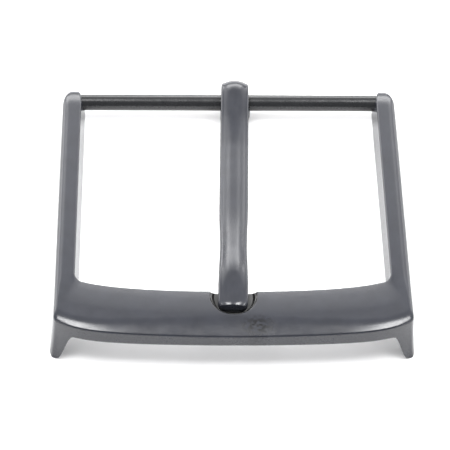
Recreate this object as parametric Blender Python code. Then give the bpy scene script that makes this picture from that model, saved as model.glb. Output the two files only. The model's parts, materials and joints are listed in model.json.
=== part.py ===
"""Prong buckle for a 40 mm belt: a cast frame, a round strap bar and a curled prong.

Each piece is drawn from the strap bar: its axis is y = 0, z = 0 and -y is the front. The
frame is drawn level and then laid down as it would lie on a table: on the points of its two
front cheeks and on the underside of the prong's loop, so its face rises towards the front.
Metres, +Z up, the table at z = 0.
"""
import math

import bmesh
import bpy
from mathutils import Vector

MM = 0.001

# Frame: the opening and the outer outline
FACE_OPENING_HALF = 20.42 * MM      # centre to an arm's inner edge, at the face
WALL_DRAFT = 0.42 * MM              # the walls close in on the 40 mm strap towards the back
OUTER_HALF = 23.02 * MM             # centre to an arm's outer side
INNER_REACH = 34.1 * MM             # strap bar to the front bar's inner edge, in the middle
OUTER_REACH = 41.12 * MM            # strap bar to the front bar's outer edge, in the middle
INNER_BOW = (1.06 * MM, 0.67 * MM, 6)    # plain bow, extra bow by the corners, its power
OUTER_BOW = (0.62 * MM, 0.55 * MM, 8)
INNER_CORNER = 1.3 * MM             # corner radii in plan
OUTER_CORNER = 1.0 * MM

# Frame: the face and the thickness
TILT = math.radians(4.25)           # how the face rises to the front as the buckle lies
FACE = 1.7 * MM                     # height of the flat face above the strap bar's axis
THICKNESS = (3.35 * MM, 2.65 * MM)  # at the bar and at the front
INNER_EDGE_RADIUS = 0.25 * MM
BACK_EDGE_RADIUS = 0.25 * MM
ARC_MIDDLE = 0.3                    # of the radius, how far half-way round a small edge lies in
INNER_DIP = (0.05 * MM, 0.28 * MM)  # how far the face dips at its inner edge: arm, front bar
FACE_CREST = 0.55                   # share of the width that the dip takes
ARM_ROLL = 1.1 * MM                 # width of the roll-off along the outer edge
FRONT_ROLL = (3.0 * MM, 1.6 * MM)   # the same on the front bar: in the middle, at a corner
ROLL_ANGLE = math.radians(25.0)     # slope of the roll-off where the edge begins
OUTER_EDGE_RADIUS = (0.75 * MM, 0.3 * MM)    # arm, front bar

# Frame: the pointed cheeks that hide the strap's edges
CHEEK_SPLAY = Vector((0.75 * MM, 0.55 * MM))    # how far it leans out by its point
CHEEK_FLARE = (1.5, 2.5)            # powers of depth: how late it leans out, to side and front
CHEEK_DEPTH = 8.0 * MM
SOLE_SIDE = 22.8 * MM               # the sole's inner side
SOLE_BACK = -38.5 * MM              # and its rear side
CHEEK_SWEEP = (2.3 * MM, 8.5 * MM)  # from the sole up to the frame: inwards, to the rear

# Frame: the rounded rear ends of the arms
REAR_NOSE = 3.95 * MM
REAR_NOSE_START = -2.3 * MM
REAR_PLAN_START = -1.35 * MM
REAR_TIP_SIDE = 21.25 * MM          # where an arm's rounded end is furthest to the rear
REAR_FULLNESS = 2.4                 # 2 would be an ellipse in side view

# Frame: the scooped seat for the prong's tip
SEAT_RADIUS = 3.06 * MM
SEAT_DEPTH = 1.2 * MM
SEAT_CENTRE = 0.85 * MM             # behind it the seat runs straight to the inner edge
SEAT_BLEND = 4.6 * MM
SEAT_POWER = 8                      # how flat its floor is and how steep its wall
SEAT_LIP = 0.42                     # share of its depth left at the front bar's inner edge
SEAT_SLOPE = 3.0 * MM               # how far from that edge it gets its full depth
SEAT_RINGS = [ring * MM for ring in (0.0, 1.0, 1.8, 2.3, 2.6, 2.85, 3.06, 3.4, 3.9, 4.6)]

# Strap bar
BAR_RADIUS = 1.12 * MM
BAR_HALF_LENGTH = 21.4 * MM
BAR_CHAMFER = 0.2 * MM
HOLE_RADIUS = 1.32 * MM
HOLE_HALF_SPAN = 21.6 * MM          # centre to the blind end of each hole

# Prong
LOOP_INNER = 1.32 * MM
PRONG_THICKNESS = 1.83 * MM
TIP_THICKNESS = 1.65 * MM           # the strip is flattened past its bend
TIP_TAPER = (31.5 * MM, 3.0 * MM)   # where that starts and how long it takes
LOOP_OUTER = LOOP_INNER + PRONG_THICKNESS
LOOP_END_ANGLE = math.radians(-190.0)
CURL_SIDE_STEP = 0.12 * MM          # the cut end of the curl stands a little to the right
CURL_END = 2.2 * MM                 # length of the curl that does
PRONG_HALF_WIDTH = 1.92 * MM
PRONG_WAIST = 1.77 * MM             # half width where the bend begins
WAIST_PLACE = (27.0 * MM, 7.0 * MM)  # how far from the bar, and its reach either way
PRONG_CROWN = 0.4 * MM
TIP_CROWN = 0.26 * MM               # and past the bend
PRONG_EDGE = 0.35 * MM
PRONG_BACK_EDGE = 0.15 * MM
PRONG_OFFSET = 0.8 * MM             # where the loop sits on the bar
PRONG_SKEW = math.radians(1.45)     # and how the prong turns back to the seat
# Middle of the strip past the loop, from the bar's axis: y to the front, z up
PRONG_LINE = [(-4.5, 1.73), (-8.5, 1.65), (-10.5, 1.77), (-16.0, 2.3), (-22.0, 2.88),
              (-27.0, 3.75), (-31.3, 4.62), (-32.4, 4.7), (-34.6, 4.65), (-37.0, 4.5)]
TIP_ROUND = 0.9 * MM                # corner radius of the tip in plan
TIP_NOSE = 0.32 * MM                # how much of the tip rolls down to the seat
NOSE_DROP = 0.75                    # share of the tip's end that it takes
PRONG_STEP = 1.2 * MM

# Where the strap bar lies: the loop touches the table, and the buckle is centred on x and y
OVERALL_LENGTH = 44.25 * MM
BAR_HEIGHT = LOOP_OUTER
BAR_Y = OVERALL_LENGTH / 2 - LOOP_OUTER


def mix(a, b, t):
    return a + (b - a) * t


def ease(t):
    t = min(max(t, 0.0), 1.0)
    return t * t * (3.0 - 2.0 * t)


def bowed_edge(reach, bow, x):
    """y of a bowed front outline at x, and its slope there."""
    plain, extra, power = bow
    half = FACE_OPENING_HALF - WALL_DRAFT
    u = x / half
    y = -reach + plain * u ** 2 + extra * abs(u) ** power
    slope = (2 * plain * u + power * extra * abs(u) ** (power - 1) * math.copysign(1, u)) / half
    return y, slope


def corner_arc(side, reach, bow, radius):
    """The arc that joins the straight side at -side to a bowed front outline."""
    centre_x = -side + radius
    end_x = centre_x
    for _ in range(8):
        y, slope = bowed_edge(reach, bow, end_x)
        end_x = centre_x + radius * math.sin(math.atan(slope))
    end_angle = 1.5 * math.pi + math.atan(slope)
    centre_y = y + radius * math.cos(math.atan(slope))
    return Vector((centre_x, centre_y)), end_angle, end_x


def arc_point(centre, radius, angle):
    return centre + radius * Vector((math.cos(angle), math.sin(angle)))


def square_way(angle):
    """The lean of a cheek where its side faces this way: the corner stays square."""
    way = Vector((math.cos(angle), math.sin(angle)))
    return way / max(abs(way.x), abs(way.y)) * CHEEK_SPLAY


def plan_stations():
    """Plan points, inner edge and outer edge, from the left rear end to the middle.

    Each pair comes with the way a cheek leans out there, and with how far the section has
    turned from an arm's (0) to the front bar's (1).
    """
    stations = []
    rear_turns = [math.radians(angle) for angle in (84, 75, 64, 52, 40, 28, 14)]
    rear = [REAR_NOSE_START + REAR_NOSE * math.sin(turn) for turn in rear_turns]
    inner_centre, inner_end, inner_end_x = corner_arc(
        FACE_OPENING_HALF, INNER_REACH, INNER_BOW, INNER_CORNER)
    outer_centre, outer_end, outer_end_x = corner_arc(
        OUTER_HALF, OUTER_REACH, OUTER_BOW, OUTER_CORNER)
    arm_end = inner_centre.y
    arms = [mix(REAR_NOSE_START, arm_end, step / 6) for step in range(7)]
    for y in rear + arms:
        outer = Vector((-OUTER_HALF, y))
        stations.append((Vector((-FACE_OPENING_HALF, y)), outer, square_way(math.pi), 0.0))
    corner = [(Vector((-OUTER_HALF, mix(arm_end, outer_centre.y, step / 6))), math.pi)
              for step in range(1, 7)]
    for step in range(1, 5):
        angle = mix(math.pi, outer_end, step / 4)
        corner.append((arc_point(outer_centre, OUTER_CORNER, angle), angle))
    for step in range(1, 5):
        x = mix(outer_end_x, inner_end_x, step / 4)
        y, slope = bowed_edge(OUTER_REACH, OUTER_BOW, x)
        corner.append((Vector((x, y)), 1.5 * math.pi + math.atan(slope)))
    for index, (outer, angle) in enumerate(corner):
        turned = (index + 1) / len(corner)
        inner = arc_point(inner_centre, INNER_CORNER, mix(math.pi, inner_end, turned))
        stations.append((inner, outer, square_way(angle), ease(turned)))
    seat_edge = -SEAT_RINGS[-1]
    front = [mix(inner_end_x, seat_edge, step / 6) for step in range(1, 6)]
    front += [-ring for ring in reversed(SEAT_RINGS)]
    for x in front:
        inner = Vector((x, bowed_edge(INNER_REACH, INNER_BOW, x)[0]))
        outer = Vector((x, bowed_edge(OUTER_REACH, OUTER_BOW, x)[0]))
        stations.append((inner, outer, square_way(1.5 * math.pi), 1.0))
    return stations


def back_plane(y):
    """Height of the flat back of the frame."""
    return FACE - mix(THICKNESS[0], THICKNESS[1], -y / OUTER_REACH)


def table_height(y):
    """Height of the table, seen from the level frame."""
    return (y * math.sin(TILT) - BAR_HEIGHT) / math.cos(TILT)


def roll_width(x, turned):
    front = mix(FRONT_ROLL[0], FRONT_ROLL[1], ease(abs(x) / OUTER_HALF))
    return mix(ARM_ROLL, front, turned)


def crown_drop(across, width, x, turned):
    """How far the face lies below its flat plane, at a distance across from the inner edge."""
    near = max(0.0, 1.0 - across / (FACE_CREST * width))
    drop = mix(INNER_DIP[0], INNER_DIP[1], turned) * near ** 2
    roll = roll_width(x, turned)
    past = max(0.0, across - (width - roll))
    return drop + 0.5 * math.tan(ROLL_ANGLE) * past ** 2 / roll


def seat_drop(ring, across):
    depth = SEAT_DEPTH * mix(SEAT_LIP, 1.0, ease(across / SEAT_SLOPE))
    return depth * max(0.0, 1.0 - (ring / SEAT_RADIUS) ** SEAT_POWER)


def seat_warp(x, across):
    """Bend the square grid round the seat into rings; give the new place and its ring."""
    v = max(0.0, across - SEAT_CENTRE)
    ring = max(abs(x), v)
    if ring >= SEAT_BLEND or ring == 0.0 or v == 0.0:
        return x, across, ring
    if abs(x) >= v:
        angle = math.pi / 4 * v / abs(x)
    else:
        angle = math.pi / 2 - math.pi / 4 * abs(x) / v
    square = ease((ring - SEAT_RADIUS) / (SEAT_BLEND - SEAT_RADIUS))
    round_x = math.copysign(ring * math.cos(angle), x)
    return mix(round_x, x, square), SEAT_CENTRE + mix(ring * math.sin(angle), v, square), ring


def cheek_sweep(place):
    """0 on a cheek's sole, 1 where its sweep runs out into the flat back."""
    inwards = max(0.0, (SOLE_SIDE - abs(place.x)) / CHEEK_SWEEP[0])
    to_rear = max(0.0, (place.y - SOLE_BACK) / CHEEK_SWEEP[1])
    return math.hypot(inwards, to_rear)


def back_height(place):
    return mix(table_height(place.y), back_plane(place.y), ease(cheek_sweep(place)))


def sweep_share(edge, far):
    """How much of the way from the back's outer edge to its inner edge a cheek's sweep takes."""
    low, high = 0.0, 1.0
    for _ in range(20):
        middle = (low + high) / 2
        if cheek_sweep(edge.lerp(far, middle)) < 1.0:
            low = middle
        else:
            high = middle
    return min(max(high, 0.3), 0.8)


def section(inner, outer, lean_way, turned):
    """One closed section of the frame: inner wall, face, outer side and back, in order."""
    span = outer - inner
    width = span.length
    out = span.normalized()
    points = []

    def add(across, z, lean=Vector((0.0, 0.0))):
        place = inner + out * across + lean_way * lean
        points.append(Vector((place.x, place.y, z)))

    def top(across):
        return FACE - crown_drop(across, width, (inner + out * across).x, turned)

    edge_cut = seat_drop(abs(inner.x), 0.0) if turned == 1.0 else 0.0
    radius = INNER_EDGE_RADIUS
    inner_top = top(radius) - edge_cut
    wall_foot = inner - out * WALL_DRAFT
    wall_bottom = back_height(wall_foot)
    add(-WALL_DRAFT, wall_bottom + BACK_EDGE_RADIUS)
    add(-WALL_DRAFT * 0.4, mix(wall_bottom, inner_top, 0.55))
    for angle in (0, 30, 60):
        turn = math.radians(angle)
        add(radius * (1 - math.cos(turn)), inner_top - radius * (1 - math.sin(turn)))

    edge = mix(OUTER_EDGE_RADIUS[0], OUTER_EDGE_RADIUS[1], turned)
    face_end = width - edge * (1 - math.sin(ROLL_ANGLE))
    last_ring = SEAT_CENTRE + SEAT_RINGS[-1]
    front_row = [radius] + [SEAT_CENTRE + ring for ring in SEAT_RINGS]
    front_row += [mix(last_ring, face_end, step / 3) for step in (1, 2, 3)]
    count = len(front_row)
    for index, front_across in enumerate(front_row):
        even = mix(radius, face_end, index / (count - 1))
        across = mix(even, front_across, turned)
        if turned == 1.0:
            x, across, ring = seat_warp(inner.x, across)
            z = FACE - crown_drop(across, width, x, turned) - seat_drop(ring, across)
            points.append(Vector((x, inner.y - across, z)))
        else:
            add(across, top(across))

    edge_z = top(face_end) - edge * math.cos(ROLL_ANGLE)
    edge_centre = width - edge
    for angle in (50, 70, 90):
        turn = math.radians(angle)
        add(edge_centre + edge * math.sin(turn), edge_z + edge * math.cos(turn))

    def lean(z):
        depth = max(0.0, FACE - z) / CHEEK_DEPTH
        return Vector((depth ** CHEEK_FLARE[0], depth ** CHEEK_FLARE[1]))

    outer_bottom = back_height(outer + lean_way * lean(back_height(outer)))
    side_foot = outer_bottom + BACK_EDGE_RADIUS
    for step in (1, 2, 3, 4):
        z = mix(edge_z, side_foot, step / 4)
        add(width, z, lean(z))
    last = lean(outer_bottom)
    edge_middle = ARC_MIDDLE * BACK_EDGE_RADIUS
    add(width - edge_middle, outer_bottom + edge_middle, last)
    edge_place = outer - out * BACK_EDGE_RADIUS + lean_way * last
    far_place = wall_foot + out * BACK_EDGE_RADIUS
    share = sweep_share(edge_place, far_place)
    steps = [share * step / 7 for step in range(8)] + [(1.0 + share) / 2, 1.0]
    for step in steps:
        place = edge_place.lerp(far_place, step)
        points.append(Vector((place.x, place.y, back_height(place))))
    add(-WALL_DRAFT + edge_middle, wall_bottom + edge_middle)
    return points


def shape_rear(points, y):
    """Round an arm's rear end about the strap bar, in side view and in plan."""
    along = (y - REAR_NOSE_START) / REAR_NOSE
    if along <= 0.0:
        return points
    tall = (1.0 - along ** REAR_FULLNESS) ** (1 / REAR_FULLNESS)
    tip = REAR_NOSE_START + REAR_NOSE
    plan = max(0.0, (y - REAR_PLAN_START) / (tip - REAR_PLAN_START))
    wide = math.sqrt(1.0 - plan ** 2)
    middle_z = (FACE + back_plane(y)) / 2
    return [Vector((mix(-REAR_TIP_SIDE, point.x, wide), y, mix(middle_z, point.z, tall)))
            for point in points]


def new_object(name, mesh_maker, location, material):
    bm = bmesh.new()
    mesh_maker(bm)
    bmesh.ops.recalc_face_normals(bm, faces=bm.faces)
    mesh = bpy.data.meshes.new(name)
    bm.to_mesh(mesh)
    bm.free()
    mesh.shade_smooth()
    mesh.set_sharp_from_angle(angle=math.radians(38))
    mesh.materials.append(material)
    obj = bpy.data.objects.new(name, mesh)
    obj.location = location
    bpy.context.scene.collection.objects.link(obj)
    return obj


def coated_metal(name, colour, roughness, metallic):
    material = bpy.data.materials.new(name)
    material.use_nodes = True
    shader = material.node_tree.nodes["Principled BSDF"]
    shader.inputs["Base Color"].default_value = (*colour, 1.0)
    shader.inputs["Roughness"].default_value = roughness
    shader.inputs["Metallic"].default_value = metallic
    return material


def skin(bm, rings):
    """Join a row of closed sections into one closed body, capped at both ends."""
    rows = [[bm.verts.new(point) for point in ring] for ring in rings]
    for first, second in zip(rows, rows[1:]):
        for index in range(len(first)):
            after = (index + 1) % len(first)
            bm.faces.new((first[index], first[after], second[after], second[index]))
    bm.faces.new(rows[0])
    bm.faces.new(reversed(rows[-1]))


def make_frame(bm):
    left = []
    for inner, outer, lean_way, turned in plan_stations():
        left.append(shape_rear(section(inner, outer, lean_way, turned), inner.y))
    mirrored = [[Vector((-p.x, p.y, p.z)) for p in ring] for ring in reversed(left[:-1])]
    skin(bm, left + mirrored)


def make_bar(bm):
    half = BAR_HALF_LENGTH
    profile = [(-half, BAR_RADIUS - BAR_CHAMFER), (-half + BAR_CHAMFER, BAR_RADIUS),
               (half - BAR_CHAMFER, BAR_RADIUS), (half, BAR_RADIUS - BAR_CHAMFER)]
    turns = [2 * math.pi * step / 32 for step in range(32)]
    skin(bm, [[Vector((x, radius * math.cos(turn), radius * math.sin(turn))) for turn in turns]
              for x, radius in profile])


def make_hole_cutter(bm):
    turns = [2 * math.pi * step / 32 for step in range(32)]
    skin(bm, [[Vector((x, HOLE_RADIUS * math.cos(turn), HOLE_RADIUS * math.sin(turn)))
               for turn in turns] for x in (-HOLE_HALF_SPAN, HOLE_HALF_SPAN)])


def prong_path():
    """Middle of the strip as (y, z) points, from the curl's cut end to the tip."""
    middle = LOOP_INNER + PRONG_THICKNESS / 2
    steps = 30
    path = []
    for step in range(steps + 1):
        angle = mix(LOOP_END_ANGLE, math.pi / 2, step / steps)
        path.append(Vector((middle * math.cos(angle), middle * math.sin(angle))))
    knots = [path[-1]] + [Vector((y * MM, z * MM)) for y, z in PRONG_LINE]
    before = knots[0] + Vector((LOOP_OUTER, 0.0))
    line = [before] + knots + [knots[-1] * 2 - knots[-2]]
    for index in range(1, len(line) - 2):
        pieces = max(3, round((line[index + 1] - line[index]).length / PRONG_STEP))
        for piece in range(1, pieces + 1):
            path.append(through(line[index - 1:index + 3], piece / pieces))
    return path


def through(knots, t):
    """A point on the centripetal Catmull-Rom curve between the two middle knots."""
    times = [0.0]
    for first, second in zip(knots, knots[1:]):
        times.append(times[-1] + math.sqrt((second - first).length))
    time = mix(times[1], times[2], t)
    low = [knots[i].lerp(knots[i + 1], (time - times[i]) / (times[i + 1] - times[i]))
           for i in range(3)]
    middle = [low[i].lerp(low[i + 1], (time - times[i]) / (times[i + 2] - times[i]))
              for i in range(2)]
    return middle[0].lerp(middle[1], (time - times[1]) / (times[2] - times[1]))


def prong_half_width(distance, length, y):
    waist = ease(1.0 - abs(y + WAIST_PLACE[0]) / WAIST_PLACE[1])
    half = mix(PRONG_HALF_WIDTH, PRONG_WAIST, waist)
    left_over = length - distance
    if left_over < TIP_ROUND:
        half -= TIP_ROUND * (1.0 - math.sqrt(1.0 - (1.0 - left_over / TIP_ROUND) ** 2))
    return half


def prong_section(place, normal, half, shift, nose):
    """A strip section with a crowned outer side; nose shrinks it towards the inner side."""
    flattened = ease((-place.x - TIP_TAPER[0]) / TIP_TAPER[1])
    outer = mix(PRONG_THICKNESS, TIP_THICKNESS, flattened) / 2
    crown = mix(PRONG_CROWN, TIP_CROWN, flattened)
    side = outer - crown - PRONG_EDGE
    flat = half - PRONG_EDGE
    corner = (half - ARC_MIDDLE * PRONG_EDGE, side + (1.0 - ARC_MIDDLE) * PRONG_EDGE)
    rows = [(-half + PRONG_BACK_EDGE, -outer), (-half, -outer + PRONG_BACK_EDGE), (-half, side)]
    rows.append((-corner[0], corner[1]))
    for step in (-1.0, -0.6, -0.2, 0.2, 0.6, 1.0):
        rows.append((flat * step, outer - crown * step * step))
    rows.append(corner)
    rows += [(half, side), (half, -outer + PRONG_BACK_EDGE), (half - PRONG_BACK_EDGE, -outer)]
    ring = []
    for x, height in rows:
        lift = mix(-outer, height, nose)
        point = place + normal * lift
        ring.append(Vector((x + shift, point.x, point.y)))
    return ring


def make_prong(bm):
    path = prong_path()
    lengths = [0.0]
    for first, second in zip(path, path[1:]):
        lengths.append(lengths[-1] + (second - first).length)
    total = lengths[-1]
    rings = []
    for index, place in enumerate(path):
        ahead = path[min(index + 1, len(path) - 1)]
        behind = path[max(index - 1, 0)]
        along = (ahead - behind).normalized()
        normal = Vector((along.y, -along.x))
        curl = ease(1.0 - lengths[index] / CURL_END)
        half = prong_half_width(lengths[index], total, place.x) + curl * CURL_SIDE_STEP
        left_over = (total - lengths[index]) / TIP_NOSE
        nose = math.sqrt(1.0 - max(0.0, 1.0 - left_over) ** 2 * NOSE_DROP)
        rings.append(prong_section(place, normal, half, curl * CURL_SIDE_STEP, nose))
    skin(bm, rings)


def build():
    for obj in list(bpy.data.objects):
        bpy.data.objects.remove(obj, do_unlink=True)
    pivot = Vector((0.0, BAR_Y, BAR_HEIGHT))
    cast = coated_metal("frame_black", (0.055, 0.056, 0.060), 0.42, 0.6)
    steel = coated_metal("bar_black", (0.045, 0.046, 0.050), 0.38, 0.7)
    strip = coated_metal("prong_black", (0.060, 0.061, 0.066), 0.40, 0.6)

    frame = new_object("frame", make_frame, pivot, cast)
    frame.rotation_euler.x = -TILT
    cutter = new_object("bar_hole_cutter", make_hole_cutter, pivot, cast)
    cutter.hide_render = True
    cutter.display_type = "WIRE"
    holes = frame.modifiers.new("bar_holes", "BOOLEAN")
    holes.operation = "DIFFERENCE"
    holes.object = cutter
    new_object("strap_bar", make_bar, pivot, steel)
    prong = new_object("prong", make_prong, pivot + Vector((PRONG_OFFSET, 0.0, 0.0)), strip)
    prong.rotation_euler.z = -PRONG_SKEW


build()
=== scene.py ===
"""Satin black prong buckle on a white sweep: finely meshed frame, strap bar and prong.

Each piece is drawn from the strap bar's axis (y = 0, z = 0, -y is the front) and then set
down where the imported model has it. Metres, +Z up, the table at z = 0.
"""
import json
import math

import bmesh
import bpy
from mathutils import Matrix, Vector


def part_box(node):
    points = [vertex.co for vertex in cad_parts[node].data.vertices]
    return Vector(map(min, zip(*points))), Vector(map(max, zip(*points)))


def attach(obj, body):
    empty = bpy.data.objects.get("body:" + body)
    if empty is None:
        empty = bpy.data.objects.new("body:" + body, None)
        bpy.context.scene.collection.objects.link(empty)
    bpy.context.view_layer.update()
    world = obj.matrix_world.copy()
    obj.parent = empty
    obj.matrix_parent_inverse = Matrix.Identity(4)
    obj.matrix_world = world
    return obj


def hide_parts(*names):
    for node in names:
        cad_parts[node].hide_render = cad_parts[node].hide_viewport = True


MM = 0.001

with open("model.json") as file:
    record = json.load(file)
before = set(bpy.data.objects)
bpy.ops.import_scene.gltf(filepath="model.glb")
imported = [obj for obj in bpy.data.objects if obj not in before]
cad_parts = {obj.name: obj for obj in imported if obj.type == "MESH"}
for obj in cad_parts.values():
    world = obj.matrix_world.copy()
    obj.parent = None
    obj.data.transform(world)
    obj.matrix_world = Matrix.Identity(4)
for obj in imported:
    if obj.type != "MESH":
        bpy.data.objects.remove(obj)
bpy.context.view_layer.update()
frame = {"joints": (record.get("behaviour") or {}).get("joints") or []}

PIVOT = Vector(frame["joints"][0]["pos_m"])
BAR_LOW, BAR_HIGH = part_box("strap_bar")

# Frame: the opening and the outer outline. A bow is how far the front outline falls back at the
# arms, by the square of x and by a higher power, and that power.
FACE_OPENING_HALF = 20.42 * MM
WALL_DRAFT = 0.42 * MM
OUTER_HALF = 23.02 * MM
INNER_REACH = 34.1 * MM
OUTER_REACH = 41.12 * MM
INNER_BOW = (1.06 * MM, 0.67 * MM, 6)
OUTER_BOW = (0.62 * MM, 0.55 * MM, 8)
INNER_CORNER = 1.3 * MM
OUTER_CORNER = 1.0 * MM

# Frame: the face and the thickness. A pair goes from the rear or the arms to the front bar, and
# FRONT_ROLL from the front bar's middle to its corners. The crest is the share of the width over
# which the inner edge dips.
TILT = math.radians(4.25)
FACE = 1.7 * MM
THICKNESS = (3.35 * MM, 2.65 * MM)
INNER_EDGE_RADIUS = 0.25 * MM
BACK_EDGE_RADIUS = 0.25 * MM
INNER_DIP = (0.05 * MM, 0.28 * MM)
FACE_CREST = 0.55
ARM_ROLL = 1.1 * MM
FRONT_ROLL = (3.0 * MM, 1.6 * MM)
ROLL_ANGLE = math.radians(25.0)
OUTER_EDGE_RADIUS = (0.75 * MM, 0.3 * MM)

# Frame: the pointed cheeks. The splay is how far a cheek leans out at its foot, to the side and
# to the front, and the flare is the power of the depth by which it does so; the sweep up into
# the back has a length inwards and one to the rear.
CHEEK_SPLAY = Vector((0.75 * MM, 0.55 * MM))
CHEEK_FLARE = (1.5, 2.5)
CHEEK_DEPTH = 8.0 * MM
SOLE_SIDE = 22.8 * MM
SOLE_BACK = -38.5 * MM
CHEEK_SWEEP = (2.3 * MM, 8.5 * MM)
SWEEP_SHARES = (0.3, 0.8)

# Frame: the rear ends of the arms, rounded in side view over the nose, and in plan to the tip
REAR_NOSE = 3.95 * MM
REAR_NOSE_START = -2.3 * MM
REAR_PLAN_START = -1.35 * MM
REAR_TIP_SIDE = 21.25 * MM
REAR_FULLNESS = 2.4

# Frame: the scooped seat for the prong's tip. The lip is the share of its depth at the inner
# edge, and the blend is where its rings are square again.
SEAT_RADIUS = 3.06 * MM
SEAT_DEPTH = 1.2 * MM
SEAT_CENTRE = 0.85 * MM
SEAT_BLEND = 4.6 * MM
SEAT_POWER = 8
SEAT_LIP = 0.42
SEAT_SLOPE = 3.0 * MM
SEAT_RIM = 0.05 * MM
RIM_INSIDE = 0.06 * MM
RIM_OUTSIDE = 0.1 * MM
RIM_SPACING = 0.02 * MM

# Strap bar
BAR_RADIUS = (BAR_HIGH.z - BAR_LOW.z) / 2
BAR_HALF_LENGTH = (BAR_HIGH.x - BAR_LOW.x) / 2
BAR_CHAMFER = 0.2 * MM
HOLE_RADIUS = BAR_RADIUS + 0.04 * MM
HOLE_HALF_SPAN = BAR_HALF_LENGTH + 0.1 * MM

# Prong. The taper to the tip and the waist each have a distance to the front and a length;
# the line is the middle of the strip in side view, (y, z) in millimetres, after the loop.
LOOP_INNER = 1.32 * MM
PRONG_THICKNESS = 1.83 * MM
TIP_THICKNESS = 1.65 * MM
TIP_TAPER = (31.5 * MM, 3.0 * MM)
LOOP_END_ANGLE = math.radians(-190.0)
CURL_SIDE_STEP = 0.12 * MM
CURL_END = 2.2 * MM
PRONG_HALF_WIDTH = 1.92 * MM
PRONG_WAIST = 1.77 * MM
WAIST_PLACE = (27.0 * MM, 7.0 * MM)
PRONG_CROWN = 0.4 * MM
TIP_CROWN = 0.26 * MM
PRONG_EDGE = 0.35 * MM
PRONG_BACK_EDGE = 0.15 * MM
PRONG_OFFSET = 0.8 * MM
PRONG_SKEW = math.radians(1.45)
PRONG_LINE = [(-4.5, 1.73), (-8.5, 1.65), (-10.5, 1.77), (-16.0, 2.3), (-22.0, 2.88),
              (-27.0, 3.75), (-31.3, 4.62), (-32.4, 4.7), (-34.6, 4.65), (-37.0, 4.5)]
TIP_ROUND = 0.9 * MM
TIP_NOSE = 0.32 * MM
NOSE_DROP = 0.75

# Meshes: steps along the frame, then round its section, then along and round the prong and bar.
# The seat's are those inside its rim, over it and outside it, crowded towards it by a power.
REAR_STEPS = 18
ARM_STEPS = 26
CORNER_STEPS = (16, 10, 10)
FRONT_STEPS = 26
SEAT_STEPS = (14, 5, 8)
SEAT_CROWDING = (1.8, 1.4)
WALL_STEPS = 7
INNER_EDGE_STEPS = 6
FACE_STEPS = 12
OUTER_EDGE_STEPS = 7
SIDE_STEPS = 12
BACK_EDGE_STEPS = 4
SWEEP_STEPS = 16
BACK_STEPS = 5
LOOP_STEPS = 110
PRONG_STEP = 0.25 * MM
PRONG_EDGE_STEPS = 6
PRONG_SIDE_SHARES = (0.33, 0.67)
CROWN_STEPS = 20
BAR_STEPS = 24
ROUND_SIDES = 64
SHARP_ANGLE = math.radians(40.0)

# Coating: the scale and detail of each noise, the range of it that is used, and how far it
# changes the tint, the roughness and the shine
CLOUD_NOISE = (350.0, 3.0)
RUB_NOISE = (900.0, 4.0)
SPECKLE_NOISE = (5200.0, 2.0)
GRAIN_NOISE = (7000.0, 2.0)
CLOUD_RANGE = RUB_RANGE = (0.3, 0.7)
SPECKLE_RANGE = (0.35, 0.65)
CLOUD_SWING = 0.12
RUB_SWING = 0.03
SPECKLE_SWING = 0.06
GRAIN_HEIGHT = 0.02 * MM
METAL_IOR = 1.5
METAL_SHINE = 0.5

# Coatings: colour, roughness, strength of the grain
FRAME_COAT = ((0.0175, 0.019, 0.0255), 0.2, 0.1)
BAR_COAT = ((0.014, 0.0145, 0.016), 0.2, 0.08)
PRONG_COAT = ((0.0185, 0.020, 0.0265), 0.22, 0.1)

# The seat's finish: its place in plan, where it ends at the inner edge (y) and below the face (z),
# its rings as (share of its radius, tint): dark in the middle, then a grey band and painted
# reflection streaks, dark, light and dark again at its rim; and its roughness and shine
SEAT_PLACE = (0.0, -15.75 * MM)
SEAT_INNER_END = (-15.1 * MM, -15.0 * MM)
SEAT_LOW_END = (5.7 * MM, 5.9 * MM)
SEAT_RIM_END = (1.0, 1.015)
SEAT_PAINTED_REFLECTION_RINGS = [(0.5, 0.02), (0.62, 0.09), (0.8, 0.1), (0.825, 0.004), (0.9, 0.004),
              (0.915, 0.1), (0.94, 0.1), (0.955, 0.003)]
SEAT_FINISH = (0.12, 0.5)

# Marks on the front bar: a patch of painted shade in the middle of its front edge, and a few
# scuffs by the left corner. Each has a place and a reach in plan, the distances it fades out
# between, the noise it is broken up by with the range of it that is used, and its colour,
# roughness and shine.
PAINTED_SHADE_PLACE = (3.0 * MM, -20.5 * MM)
PAINTED_SHADE_REACH = (2.9 * MM, 2.0 * MM)
PAINTED_SHADE_FADE = (0.2, 1.0)
PAINTED_SHADE_NOISE = (2100.0, 3.0)
PAINTED_SHADE_RANGE = (0.42, 0.54)
PAINTED_SHADE_FINISH = ((0.008, 0.008, 0.009, 1.0), 0.36, 0.12)
SCUFF_PLACE = (-19.3 * MM, -21.4 * MM)
SCUFF_REACH = (1.8 * MM, 1.2 * MM)
SCUFF_FADE = (0.3, 1.0)
SCUFF_NOISE = (4200.0, 1.0)
SCUFF_STRETCH = (0.25, 1.0, 1.0)
SCUFF_RANGE = (0.62, 0.68)
SCUFF_FINISH = ((0.012, 0.012, 0.013, 1.0), 0.4, 0.3)

# Camera: its direction, its distance from the point it looks at, and its lens
VIEW_ELEVATION = math.radians(55.0)
VIEW_TURN = math.radians(2.80)
VIEW_ROLL = math.radians(2.43)
VIEW_DISTANCE = 275.3 * MM
VIEW_LENS = 166.08
SENSOR_WIDTH = 36.0
CLIP_START = 0.01
VIEW_TARGET = Vector((-0.87 * MM, -3.105 * MM, 5.0 * MM))


def mix(a, b, t):
    return a + (b - a) * t


def ease(t):
    t = min(max(t, 0.0), 1.0)
    return t * t * (3.0 - 2.0 * t)


def spread(start, end, steps, first=True):
    """Even values from start to end, with or without the start itself."""
    return [mix(start, end, step / steps) for step in range(0 if first else 1, steps + 1)]


# ---------------------------------------------------------------- frame outline

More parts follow.
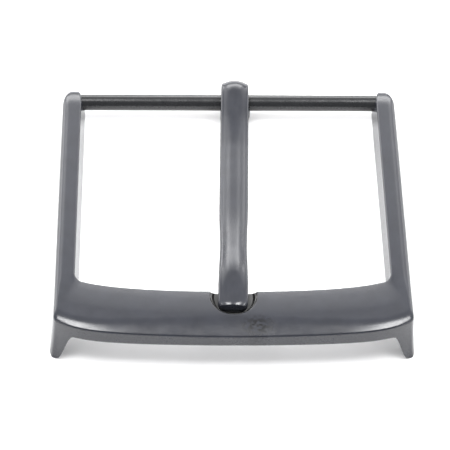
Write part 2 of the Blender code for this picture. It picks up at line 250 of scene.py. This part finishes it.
def bowed_edge(reach, bow, x):
    """y of a bowed front outline at x, and its slope there."""
    plain, extra, power = bow
    half = FACE_OPENING_HALF - WALL_DRAFT
    u = x / half
    y = -reach + plain * u ** 2 + extra * abs(u) ** power
    slope = (2 * plain * u + power * extra * abs(u) ** (power - 1) * math.copysign(1, u)) / half
    return y, slope


def corner_arc(side, reach, bow, radius):
    """The arc that joins the straight side at -side to a bowed front outline."""
    centre_x = -side + radius
    end_x = centre_x
    for _ in range(8):      # settles to where the arc and the bow have the same slope
        y, slope = bowed_edge(reach, bow, end_x)
        end_x = centre_x + radius * math.sin(math.atan(slope))
    end_angle = 1.5 * math.pi + math.atan(slope)
    centre_y = y + radius * math.cos(math.atan(slope))
    return Vector((centre_x, centre_y)), end_angle, end_x


def arc_point(centre, radius, angle):
    return centre + radius * Vector((math.cos(angle), math.sin(angle)))


def square_way(angle):
    """The lean of a cheek where its side faces this way: the corner stays square."""
    way = Vector((math.cos(angle), math.sin(angle)))
    return way / max(abs(way.x), abs(way.y)) * CHEEK_SPLAY


def seat_rings():
    """Ring radii round the seat's centre, closest together at its rim."""
    steps_in, steps_rim, steps_out = SEAT_STEPS
    inside = [SEAT_RADIUS * (1.0 - (1.0 - step / steps_in) ** SEAT_CROWDING[0])
              for step in range(steps_in)]
    rim = spread(SEAT_RADIUS - RIM_INSIDE, SEAT_RADIUS + RIM_OUTSIDE, steps_rim)
    outside = [mix(rim[-1], SEAT_BLEND, (step / steps_out) ** SEAT_CROWDING[1])
               for step in range(1, steps_out + 1)]
    return [ring for ring in inside if ring < rim[0] - RIM_SPACING] + rim + outside


SEAT_RINGS = seat_rings()


def plan_stations():
    """Plan points, inner edge and outer edge, from the left rear end to the middle.

    Each pair comes with the way a cheek leans out there, and with how far the section has
    turned from an arm's (0) to the front bar's (1).
    """
    stations = []
    # A quarter of a step short of the very tip, where a section would have no height
    rear = [REAR_NOSE_START + REAR_NOSE * math.cos(math.pi / 2 * (step + 0.25) / REAR_STEPS)
            for step in range(REAR_STEPS)]
    inner_centre, inner_end, inner_end_x = corner_arc(
        FACE_OPENING_HALF, INNER_REACH, INNER_BOW, INNER_CORNER)
    outer_centre, outer_end, outer_end_x = corner_arc(
        OUTER_HALF, OUTER_REACH, OUTER_BOW, OUTER_CORNER)
    arm_end = inner_centre.y
    for y in rear + spread(REAR_NOSE_START, arm_end, ARM_STEPS):
        outer = Vector((-OUTER_HALF, y))
        stations.append((Vector((-FACE_OPENING_HALF, y)), outer, square_way(math.pi), 0.0))
    corner = [(Vector((-OUTER_HALF, y)), math.pi)
              for y in spread(arm_end, outer_centre.y, CORNER_STEPS[0], first=False)]
    for angle in spread(math.pi, outer_end, CORNER_STEPS[1], first=False):
        corner.append((arc_point(outer_centre, OUTER_CORNER, angle), angle))
    for x in spread(outer_end_x, inner_end_x, CORNER_STEPS[2], first=False):
        y, slope = bowed_edge(OUTER_REACH, OUTER_BOW, x)
        corner.append((Vector((x, y)), 1.5 * math.pi + math.atan(slope)))
    for index, (outer, angle) in enumerate(corner):
        turned = (index + 1) / len(corner)
        inner = arc_point(inner_centre, INNER_CORNER, mix(math.pi, inner_end, turned))
        stations.append((inner, outer, square_way(angle), ease(turned)))
    front = spread(inner_end_x, -SEAT_RINGS[-1], FRONT_STEPS, first=False)
    front += [-ring for ring in reversed(SEAT_RINGS[:-1])]
    for x in front:
        inner = Vector((x, bowed_edge(INNER_REACH, INNER_BOW, x)[0]))
        outer = Vector((x, bowed_edge(OUTER_REACH, OUTER_BOW, x)[0]))
        stations.append((inner, outer, square_way(1.5 * math.pi), 1.0))
    return stations


# ---------------------------------------------------------------- frame section

def back_plane(y):
    """Height of the flat back of the frame."""
    return FACE - mix(THICKNESS[0], THICKNESS[1], -y / OUTER_REACH)


def table_height(y):
    """Height of the table, seen from the level frame."""
    return (y * math.sin(TILT) - PIVOT.z) / math.cos(TILT)


def roll_width(x, turned):
    front = mix(FRONT_ROLL[0], FRONT_ROLL[1], ease(abs(x) / OUTER_HALF))
    return mix(ARM_ROLL, front, turned)


def crown_drop(across, width, x, turned):
    """How far the face lies below its flat plane, at a distance across from the inner edge.

    It dips towards the inner edge, and rolls off by ROLL_ANGLE towards the outer one.
    """
    near = max(0.0, 1.0 - across / (FACE_CREST * width))
    drop = mix(INNER_DIP[0], INNER_DIP[1], turned) * near ** 2
    roll = roll_width(x, turned)
    past = max(0.0, across - (width - roll))
    return drop + 0.5 * math.tan(ROLL_ANGLE) * past ** 2 / roll


def seat_drop(ring, across):
    """Depth of the seat: shallow at the front bar's inner edge, with its rim rounded off."""
    depth = SEAT_DEPTH * mix(SEAT_LIP, 1.0, ease(across / SEAT_SLOPE))
    drop = depth * (1.0 - (ring / SEAT_RADIUS) ** SEAT_POWER)
    return (drop + math.sqrt(drop ** 2 + SEAT_RIM ** 2)) / 2


def seat_warp(x, across):
    """Bend the square grid round the seat into rings; give the new place and its ring."""
    v = max(0.0, across - SEAT_CENTRE)
    ring = max(abs(x), v)
    if ring >= SEAT_BLEND or ring == 0.0 or v == 0.0:
        return x, across, ring
    if abs(x) >= v:
        angle = math.pi / 4 * v / abs(x)
    else:
        angle = math.pi / 2 - math.pi / 4 * abs(x) / v
    square = ease((ring - SEAT_RADIUS) / (SEAT_BLEND - SEAT_RADIUS))
    round_x = math.copysign(ring * math.cos(angle), x)
    return mix(round_x, x, square), SEAT_CENTRE + mix(ring * math.sin(angle), v, square), ring


def cheek_sweep(place):
    """0 on a cheek's sole, 1 where its sweep runs out into the flat back."""
    inwards = max(0.0, (SOLE_SIDE - abs(place.x)) / CHEEK_SWEEP[0])
    to_rear = max(0.0, (place.y - SOLE_BACK) / CHEEK_SWEEP[1])
    return math.hypot(inwards, to_rear)


def back_height(place):
    return mix(table_height(place.y), back_plane(place.y), ease(cheek_sweep(place)))


def sweep_share(edge, far):
    """How much of the way from the back's outer edge to its inner edge a cheek's sweep takes."""
    low, high = 0.0, 1.0
    for _ in range(20):     # halving
        middle = (low + high) / 2
        if cheek_sweep(edge.lerp(far, middle)) < 1.0:
            low = middle
        else:
            high = middle
    return min(max(high, SWEEP_SHARES[0]), SWEEP_SHARES[1])


def section(inner, outer, lean_way, turned):
    """One closed section of the frame: inner wall, face, outer side and back, in order."""
    span = outer - inner
    width = span.length
    out = span.normalized()
    points = []

    def add(across, z, lean=Vector((0.0, 0.0))):
        place = inner + out * across + lean_way * lean
        points.append(Vector((place.x, place.y, z)))

    def top(across):
        return FACE - crown_drop(across, width, (inner + out * across).x, turned)

    edge_cut = seat_drop(abs(inner.x), 0.0) if turned == 1.0 else 0.0
    radius = INNER_EDGE_RADIUS
    inner_top = top(radius) - edge_cut
    wall_foot = inner - out * WALL_DRAFT
    wall_bottom = back_height(wall_foot)
    wall_low = wall_bottom + BACK_EDGE_RADIUS
    wall_high = inner_top - radius
    for step in spread(0.0, 1.0, WALL_STEPS)[:-1]:
        add(-WALL_DRAFT * (1.0 - step), mix(wall_low, wall_high, step))
    for turn in spread(0.0, math.pi / 2, INNER_EDGE_STEPS)[:-1]:
        add(radius * (1 - math.cos(turn)), inner_top - radius * (1 - math.sin(turn)))

    edge = mix(OUTER_EDGE_RADIUS[0], OUTER_EDGE_RADIUS[1], turned)
    face_end = width - edge * (1 - math.sin(ROLL_ANGLE))
    last_ring = SEAT_CENTRE + SEAT_RINGS[-1]
    front_row = [radius] + [SEAT_CENTRE + ring for ring in SEAT_RINGS]
    front_row += spread(last_ring, face_end, FACE_STEPS, first=False)
    count = len(front_row)
    for index, front_across in enumerate(front_row):
        even = mix(radius, face_end, index / (count - 1))
        across = mix(even, front_across, turned)
        if turned == 1.0:
            x, across, ring = seat_warp(inner.x, across)
            z = FACE - crown_drop(across, width, x, turned) - seat_drop(ring, across)
            points.append(Vector((x, inner.y - across, z)))
        else:
            add(across, top(across))

    edge_z = top(face_end) - edge * math.cos(ROLL_ANGLE)
    edge_centre = width - edge
    for turn in spread(ROLL_ANGLE, math.pi / 2, OUTER_EDGE_STEPS, first=False):
        add(edge_centre + edge * math.sin(turn), edge_z + edge * math.cos(turn))

    def lean(z):
        depth = max(0.0, FACE - z) / CHEEK_DEPTH
        return Vector((depth ** CHEEK_FLARE[0], depth ** CHEEK_FLARE[1]))

    outer_bottom = back_height(outer + lean_way * lean(back_height(outer)))
    side_foot = outer_bottom + BACK_EDGE_RADIUS
    for step in spread(0.0, 1.0, SIDE_STEPS, first=False):
        z = mix(edge_z, side_foot, step)
        add(width, z, lean(z))
    last = lean(outer_bottom)
    for turn in spread(0.0, math.pi / 2, BACK_EDGE_STEPS)[1:-1]:
        add(width - BACK_EDGE_RADIUS * (1 - math.cos(turn)),
            outer_bottom + BACK_EDGE_RADIUS * (1 - math.sin(turn)), last)
    edge_place = outer - out * BACK_EDGE_RADIUS + lean_way * last
    far_place = wall_foot + out * BACK_EDGE_RADIUS
    share = sweep_share(edge_place, far_place)
    for step in spread(0.0, share, SWEEP_STEPS) + spread(share, 1.0, BACK_STEPS, first=False):
        place = edge_place.lerp(far_place, step)
        points.append(Vector((place.x, place.y, back_height(place))))
    for turn in spread(math.pi / 2, 0.0, BACK_EDGE_STEPS)[1:-1]:
        add(-WALL_DRAFT + BACK_EDGE_RADIUS * (1 - math.cos(turn)),
            wall_bottom + BACK_EDGE_RADIUS * (1 - math.sin(turn)))
    return points


def shape_rear(points, y):
    """Round an arm's rear end about the strap bar, in side view and in plan."""
    along = (y - REAR_NOSE_START) / REAR_NOSE
    if along <= 0.0:
        return points
    tall = (1.0 - along ** REAR_FULLNESS) ** (1 / REAR_FULLNESS)
    tip = REAR_NOSE_START + REAR_NOSE
    plan = max(0.0, (y - REAR_PLAN_START) / (tip - REAR_PLAN_START))
    wide = math.sqrt(1.0 - plan ** 2)
    middle_z = (FACE + back_plane(y)) / 2
    return [Vector((mix(-REAR_TIP_SIDE, point.x, wide), y, mix(middle_z, point.z, tall)))
            for point in points]


# ---------------------------------------------------------------- meshes

def skin(bm, rings):
    """Join a row of closed sections into one closed body, capped at both ends."""
    rows = [[bm.verts.new(point) for point in ring] for ring in rings]
    for first, second in zip(rows, rows[1:]):
        for index in range(len(first)):
            after = (index + 1) % len(first)
            bm.faces.new((first[index], first[after], second[after], second[index]))
    bm.faces.new(rows[0])
    bm.faces.new(reversed(rows[-1]))


def new_piece(name, rings, placing, material):
    bm = bmesh.new()
    skin(bm, rings)
    bmesh.ops.recalc_face_normals(bm, faces=bm.faces)
    mesh = bpy.data.meshes.new(name)
    bm.to_mesh(mesh)
    bm.free()
    mesh.shade_smooth()
    mesh.set_sharp_from_angle(angle=SHARP_ANGLE)
    mesh.materials.append(material)
    mesh.transform(placing)
    piece = bpy.data.objects.new(name, mesh)
    bpy.context.scene.collection.objects.link(piece)
    return piece


def tube_rings(profile):
    """Round sections about the x axis, from (x, radius) pairs."""
    turns = [2 * math.pi * step / ROUND_SIDES for step in range(ROUND_SIDES)]
    return [[Vector((x, radius * math.cos(turn), radius * math.sin(turn))) for turn in turns]
            for x, radius in profile]


def cut(piece, cutter):
    """Take the cutter out of the piece for good."""
    difference = piece.modifiers.new("cut", "BOOLEAN")
    difference.operation = "DIFFERENCE"
    difference.object = cutter
    difference.solver = "EXACT"
    bpy.context.view_layer.update()
    graph = bpy.context.evaluated_depsgraph_get()
    mesh = bpy.data.meshes.new_from_object(piece.evaluated_get(graph))
    piece.modifiers.clear()
    piece.data = mesh
    bpy.data.objects.remove(cutter, do_unlink=True)


def build_frame(material):
    left = []
    for inner, outer, lean_way, turned in plan_stations():
        left.append(shape_rear(section(inner, outer, lean_way, turned), inner.y))
    mirrored = [[Vector((-p.x, p.y, p.z)) for p in ring] for ring in reversed(left[:-1])]
    placing = Matrix.Translation(PIVOT) @ Matrix.Rotation(-TILT, 4, "X")
    piece = new_piece("frame_cast", left + mirrored, placing, material)
    span = HOLE_HALF_SPAN
    rings = tube_rings([(-span, HOLE_RADIUS), (span, HOLE_RADIUS)])
    cut(piece, new_piece("hole_cutter", rings, Matrix.Translation(PIVOT), material))
    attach(piece, "buckle")
    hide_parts("frame")


def build_bar(material):
    half = BAR_HALF_LENGTH
    profile = [(-half, BAR_RADIUS - BAR_CHAMFER), (-half + BAR_CHAMFER, BAR_RADIUS)]
    along = spread(-half + BAR_CHAMFER, half - BAR_CHAMFER, BAR_STEPS, first=False)
    profile += [(x, BAR_RADIUS) for x in along]
    profile.append((half, BAR_RADIUS - BAR_CHAMFER))
    piece = new_piece("strap_bar_pin", tube_rings(profile), Matrix.Translation(PIVOT), material)
    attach(piece, "buckle")
    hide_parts("strap_bar")


def through(knots, t):
    """A point on the centripetal Catmull-Rom curve between the two middle knots."""
    at = [0.0]
    for first, second in zip(knots, knots[1:]):
        at.append(at[-1] + math.sqrt((second - first).length))
    now = mix(at[1], at[2], t)
    low = [knots[i].lerp(knots[i + 1], (now - at[i]) / (at[i + 1] - at[i])) for i in range(3)]
    middle = [low[i].lerp(low[i + 1], (now - at[i]) / (at[i + 2] - at[i])) for i in range(2)]
    return middle[0].lerp(middle[1], (now - at[1]) / (at[2] - at[1]))


def prong_path():
    """Middle of the strip as (y, z) points, from the curl's cut end to the tip."""
    middle = LOOP_INNER + PRONG_THICKNESS / 2
    path = [arc_point(Vector((0.0, 0.0)), middle, angle)
            for angle in spread(LOOP_END_ANGLE, math.pi / 2, LOOP_STEPS)]
    knots = [path[-1]] + [Vector((y * MM, z * MM)) for y, z in PRONG_LINE]
    before = knots[0] + Vector((LOOP_INNER + PRONG_THICKNESS, 0.0))
    line = [before] + knots + [knots[-1] * 2 - knots[-2]]
    for index in range(1, len(line) - 2):
        pieces = round((line[index + 1] - line[index]).length / PRONG_STEP)
        for t in spread(0.0, 1.0, pieces, first=False):
            path.append(through(line[index - 1:index + 3], t))
    return path


def prong_half_width(distance, length, y):
    waist = ease(1.0 - abs(y + WAIST_PLACE[0]) / WAIST_PLACE[1])
    half = mix(PRONG_HALF_WIDTH, PRONG_WAIST, waist)
    left_over = length - distance
    if left_over < TIP_ROUND:
        half -= TIP_ROUND * (1.0 - math.sqrt(1.0 - (1.0 - left_over / TIP_ROUND) ** 2))
    return half


def prong_section(place, normal, half, shift, nose):
    """A strip section with a crowned outer side; nose shrinks it towards the inner side."""
    flattened = ease((-place.x - TIP_TAPER[0]) / TIP_TAPER[1])
    outer = mix(PRONG_THICKNESS, TIP_THICKNESS, flattened) / 2
    crown = mix(PRONG_CROWN, TIP_CROWN, flattened)
    side = outer - crown - PRONG_EDGE
    flat = half - PRONG_EDGE
    corner = [(flat + PRONG_EDGE * math.cos(turn), side + PRONG_EDGE * math.sin(turn))
              for turn in spread(0.0, math.pi / 2, PRONG_EDGE_STEPS)[:-1]]
    back = [(half - PRONG_BACK_EDGE * (1 - math.cos(turn)),
             -outer + PRONG_BACK_EDGE * (1 - math.sin(turn)))
            for turn in spread(0.0, math.pi / 2, BACK_EDGE_STEPS)]
    rows = [(-x, z) for x, z in reversed(back)]
    rows += [(-half, mix(-outer + PRONG_BACK_EDGE, side, step)) for step in PRONG_SIDE_SHARES]
    rows += [(-x, z) for x, z in corner]
    rows += [(flat * step, outer - crown * step * step)
             for step in spread(-1.0, 1.0, CROWN_STEPS)]
    rows += list(reversed(corner))
    rows += [(half, mix(side, -outer + PRONG_BACK_EDGE, step)) for step in PRONG_SIDE_SHARES]
    rows += back
    ring = []
    for x, height in rows:
        point = place + normal * mix(-outer, height, nose)
        ring.append(Vector((x + shift, point.x, point.y)))
    return ring


def build_prong(material):
    path = prong_path()
    lengths = [0.0]
    for first, second in zip(path, path[1:]):
        lengths.append(lengths[-1] + (second - first).length)
    total = lengths[-1]
    rings = []
    for index, place in enumerate(path):
        ahead = path[min(index + 1, len(path) - 1)]
        behind = path[max(index - 1, 0)]
        along = (ahead - behind).normalized()
        normal = Vector((along.y, -along.x))
        curl = ease(1.0 - lengths[index] / CURL_END)
        half = prong_half_width(lengths[index], total, place.x) + curl * CURL_SIDE_STEP
        left_over = (total - lengths[index]) / TIP_NOSE
        nose = math.sqrt(1.0 - max(0.0, 1.0 - left_over) ** 2 * NOSE_DROP)
        rings.append(prong_section(place, normal, half, curl * CURL_SIDE_STEP, nose))
    placing = Matrix.Translation(PIVOT + Vector((PRONG_OFFSET, 0.0, 0.0)))
    placing = placing @ Matrix.Rotation(-PRONG_SKEW, 4, "Z")
    piece = new_piece("prong_strip", rings, placing, material)
    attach(piece, "prong")
    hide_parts("prong")


# ---------------------------------------------------------------- materials

def add_node(tree, kind, settings=None, **inputs):
    """A new node; each input is a constant or another node's output.

    An input goes by its name, with _ for a space, or by its number, as _0.
    """
    made = tree.nodes.new(kind)
    for name, value in (settings or {}).items():
        setattr(made, name, value)
    for name, value in inputs.items():
        socket = made.inputs[int(name[1:]) if name[1:].isdigit() else name.replace("_", " ")]
        if isinstance(value, bpy.types.NodeSocket):
            tree.links.new(value, socket)
        else:
            socket.default_value = value
    return made


def ramp(tree, source, start, stop, low, high):
    """Low below start, high above stop, and even between."""
    return add_node(tree, "ShaderNodeMapRange", Value=source, From_Min=start, From_Max=stop,
                    To_Min=low, To_Max=high).outputs["Result"]


def noise(tree, place, scale, detail):
    return add_node(tree, "ShaderNodeTexNoise", Vector=place, Scale=scale,
                    Detail=detail).outputs["Fac"]


def times(tree, first, second):
    return add_node(tree, "ShaderNodeMath", {"operation": "MULTIPLY"}, _0=first,
                    _1=second).outputs["Value"]


def blend(tree, share, first, second):
    return add_node(tree, "ShaderNodeMix", {"data_type": "RGBA"}, Factor=share, A=first,
                    B=second).outputs["Result"]


def plan_distance(tree, place, middle, reach):
    """Distance in plan from a middle, 1 at its reach to the side and to the front."""
    shifted = add_node(tree, "ShaderNodeVectorMath", {"operation": "SUBTRACT"}, _0=place,
                       _1=(*middle, 0.0)).outputs["Vector"]
    scaled = add_node(tree, "ShaderNodeVectorMath", {"operation": "MULTIPLY"}, _0=shifted,
                      _1=(1.0 / reach[0], 1.0 / reach[1], 0.0)).outputs["Vector"]
    return add_node(tree, "ShaderNodeVectorMath", {"operation": "LENGTH"},
                    _0=scaled).outputs["Value"]


def coated_metal(name, colour, roughness, grain):
    """Satin coating over metal: faint clouding, rubbed patches, fine speckle and grain."""
    material = bpy.data.materials.new(name)
    material.use_nodes = True
    tree = material.node_tree
    place = add_node(tree, "ShaderNodeTexCoord").outputs["Object"]
    dark, pale = ((*[share * c for c in colour], 1.0)
                  for share in (1.0 - CLOUD_SWING, 1.0 + CLOUD_SWING))
    clouds = ramp(tree, noise(tree, place, *CLOUD_NOISE), *CLOUD_RANGE, 0.0, 1.0)
    tint = blend(tree, clouds, dark, pale)
    rubbed = ramp(tree, noise(tree, place, *RUB_NOISE), *RUB_RANGE,
                  roughness - RUB_SWING, roughness + RUB_SWING)
    shine = ramp(tree, noise(tree, place, *SPECKLE_NOISE), *SPECKLE_RANGE,
                 METAL_SHINE - SPECKLE_SWING, METAL_SHINE + SPECKLE_SWING)
    bump = add_node(tree, "ShaderNodeBump", Strength=grain, Distance=GRAIN_HEIGHT,
                    Height=noise(tree, place, *GRAIN_NOISE)).outputs["Normal"]
    shader = tree.nodes["Principled BSDF"]
    shader.inputs["IOR"].default_value = METAL_IOR
    for socket, source in (("Base Color", tint), ("Roughness", rubbed),
                           ("Specular IOR Level", shine), ("Normal", bump)):
        tree.links.new(source, shader.inputs[socket])
    return material


def patch(material, share, colour, roughness, shine):
    """Lay another finish over a material wherever share is 1."""
    tree = material.node_tree
    shader = tree.nodes["Principled BSDF"]
    below = {name: shader.inputs[name].links[0].from_socket
             for name in ("Base Color", "Roughness", "Specular IOR Level")}
    tree.links.new(blend(tree, share, below["Base Color"], colour), shader.inputs["Base Color"])
    for name, value in (("Roughness", roughness), ("Specular IOR Level", shine)):
        mixed = add_node(tree, "ShaderNodeMix", Factor=share, A=below[name], B=value)
        tree.links.new(mixed.outputs["Result"], shader.inputs[name])


def frame_finish():
    """Frame coating; seat with painted reflection rings; front bar with painted shade and scuffs.
    """
    material = coated_metal("frame_coating", *FRAME_COAT)
    tree = material.node_tree
    place = add_node(tree, "ShaderNodeTexCoord").outputs["Object"]

    # Painted reflections: rings of tint in the seat that stand for light and dark streaks on its
    # walls
    ring = plan_distance(tree, place, SEAT_PLACE, (SEAT_RADIUS, SEAT_RADIUS))
    rings = add_node(tree, "ShaderNodeValToRGB", Fac=ring)
    stops = rings.color_ramp.elements
    for stop, (position, tint) in ((stops[0], SEAT_PAINTED_REFLECTION_RINGS[0]), (stops[1], SEAT_PAINTED_REFLECTION_RINGS[-1])):
        stop.position, stop.color = position, (tint, tint, tint, 1.0)
    for position, tint in SEAT_PAINTED_REFLECTION_RINGS[1:-1]:
        stops.new(position).color = (tint, tint, tint, 1.0)
    split = add_node(tree, "ShaderNodeSeparateXYZ", Vector=place)
    on_face = times(tree, ramp(tree, split.outputs["Y"], *SEAT_INNER_END, 1.0, 0.0),
                    ramp(tree, split.outputs["Z"], *SEAT_LOW_END, 0.0, 1.0))
    in_seat = times(tree, on_face, ramp(tree, ring, *SEAT_RIM_END, 1.0, 0.0))
    patch(material, in_seat, rings.outputs["Color"], *SEAT_FINISH)

    # Painted shade: a darker, duller patch that stands for the dark middle of the front bar's edge
    painted_shade = plan_distance(tree, place, PAINTED_SHADE_PLACE, PAINTED_SHADE_REACH)
    near = ramp(tree, painted_shade, *PAINTED_SHADE_FADE, 1.0, 0.0)
    mottled_shade = ramp(tree, noise(tree, place, *PAINTED_SHADE_NOISE), *PAINTED_SHADE_RANGE, 0.0, 1.0)
    patch(material, times(tree, near, mottled_shade), *PAINTED_SHADE_FINISH)

    scuff = plan_distance(tree, place, SCUFF_PLACE, SCUFF_REACH)
    near = ramp(tree, scuff, *SCUFF_FADE, 1.0, 0.0)
    stretched = add_node(tree, "ShaderNodeVectorMath", {"operation": "MULTIPLY"}, _0=place,
                         _1=SCUFF_STRETCH).outputs["Vector"]
    marks = ramp(tree, noise(tree, stretched, *SCUFF_NOISE), *SCUFF_RANGE, 0.0, 1.0)
    patch(material, times(tree, near, marks), *SCUFF_FINISH)
    return material


def white_paper():
    material = bpy.data.materials.new("white_paper")
    material.use_nodes = True
    inputs = material.node_tree.nodes["Principled BSDF"].inputs
    inputs["Base Color"].default_value = (0.9, 0.9, 0.905, 1.0)
    inputs["Roughness"].default_value = 0.7
    inputs["Specular IOR Level"].default_value = 0.2
    return material


# ---------------------------------------------------------------- studio

FLOOR_HALF = 3.0


def build_floor():
    bm = bmesh.new()
    bmesh.ops.create_grid(bm, x_segments=1, y_segments=1, size=FLOOR_HALF)
    mesh = bpy.data.meshes.new("floor")
    bm.to_mesh(mesh)
    bm.free()
    mesh.materials.append(white_paper())
    floor = bpy.data.objects.new("floor", mesh)
    bpy.context.scene.collection.objects.link(floor)


# Soft boxes round the buckle: height from the front's horizon (0) over the top (90) to the
# rear's horizon (180), side, in degrees; width and depth in metres; watts
SOFT_BOXES = {
    "overhead_left": (89, -14, 0.28, 0.15, 2.6),
    "overhead_right": (89, 18, 0.28, 0.15, 2.6),
    "side_left": (142, -30, 0.3, 0.3, 0.6),
    "side_right": (142, 30, 0.3, 0.3, 0.4),
    "rear_left": (155, -50, 0.32, 0.32, 1.2),
    "rear_right": (155, 50, 0.32, 0.32, 0.8),
    "rear_high": (140, 0, 0.5, 0.2, 0.45),
    "rear": (156, 0, 0.5, 0.2, 2.0),
    "front_left": (25, -50, 0.32, 0.32, 0.6),
    "front_right": (25, 50, 0.32, 0.32, 0.6),
}
BOX_DISTANCE = 0.6

# The walls are white, but for a darker one low in front; its light fades out between two angles
# from its middle, largest first
WALL_LIGHT = 0.95
DARK_LIGHT = 0.3
DARK_HEIGHT = math.radians(25)
DARK_WALL = (0.0, -math.cos(DARK_HEIGHT), math.sin(DARK_HEIGHT))
DARK_FADE = (math.radians(65), math.radians(35))


def build_studio():
    """The walls all round, and the soft boxes."""
    world = bpy.data.worlds.new("studio")
    bpy.context.scene.world = world
    world.use_nodes = True
    tree = world.node_tree
    background = tree.nodes["Background"]
    background.inputs["Color"].default_value = (1.0, 1.0, 1.0, 1.0)
    direction = add_node(tree, "ShaderNodeTexCoord").outputs["Generated"]
    facing = add_node(tree, "ShaderNodeVectorMath", {"operation": "DOT_PRODUCT"},
                      _0=direction, _1=DARK_WALL).outputs["Value"]
    strength = add_node(tree, "ShaderNodeMapRange", {"interpolation_type": "SMOOTHSTEP"},
                        Value=facing, From_Min=math.cos(DARK_FADE[0]),
                        From_Max=math.cos(DARK_FADE[1]), To_Min=WALL_LIGHT, To_Max=DARK_LIGHT)
    tree.links.new(strength.outputs["Result"], background.inputs["Strength"])
    for name, (height, side, width, depth, watts) in SOFT_BOXES.items():
        height, side = math.radians(height), math.radians(side)
        way = Vector((math.sin(side), -math.cos(height) * math.cos(side),
                      math.sin(height) * math.cos(side)))
        light = bpy.data.lights.new(name, "AREA")
        light.shape = "RECTANGLE"
        light.size, light.size_y = width, depth
        light.energy = watts
        lamp = bpy.data.objects.new(name, light)
        lamp.location = way * BOX_DISTANCE
        lamp.rotation_mode = "QUATERNION"
        lamp.rotation_quaternion = (-way).to_track_quat("-Z", "Y")
        lamp.visible_camera = False
        bpy.context.scene.collection.objects.link(lamp)


def build_camera():
    ahead = Vector((math.sin(VIEW_TURN) * math.cos(VIEW_ELEVATION),
                    math.cos(VIEW_TURN) * math.cos(VIEW_ELEVATION),
                    -math.sin(VIEW_ELEVATION)))
    level = Vector((math.cos(VIEW_TURN), -math.sin(VIEW_TURN), 0.0))
    upright = level.cross(ahead)
    right = level * math.cos(VIEW_ROLL) + upright * math.sin(VIEW_ROLL)
    up = upright * math.cos(VIEW_ROLL) - level * math.sin(VIEW_ROLL)
    data = bpy.data.cameras.new("camera")
    data.lens = VIEW_LENS
    data.sensor_width = SENSOR_WIDTH
    data.clip_start = CLIP_START
    camera = bpy.data.objects.new("camera", data)
    turned = Matrix((right, up, -ahead)).transposed()
    camera.matrix_world = Matrix.Translation(VIEW_TARGET - ahead * VIEW_DISTANCE) @ turned.to_4x4()
    bpy.context.scene.collection.objects.link(camera)
    bpy.context.scene.camera = camera


build_frame(frame_finish())
build_bar(coated_metal("bar_coating", *BAR_COAT))
build_prong(coated_metal("prong_coating", *PRONG_COAT))
build_floor()
build_studio()
build_camera()
bpy.context.scene.view_settings.view_transform = "Standard"
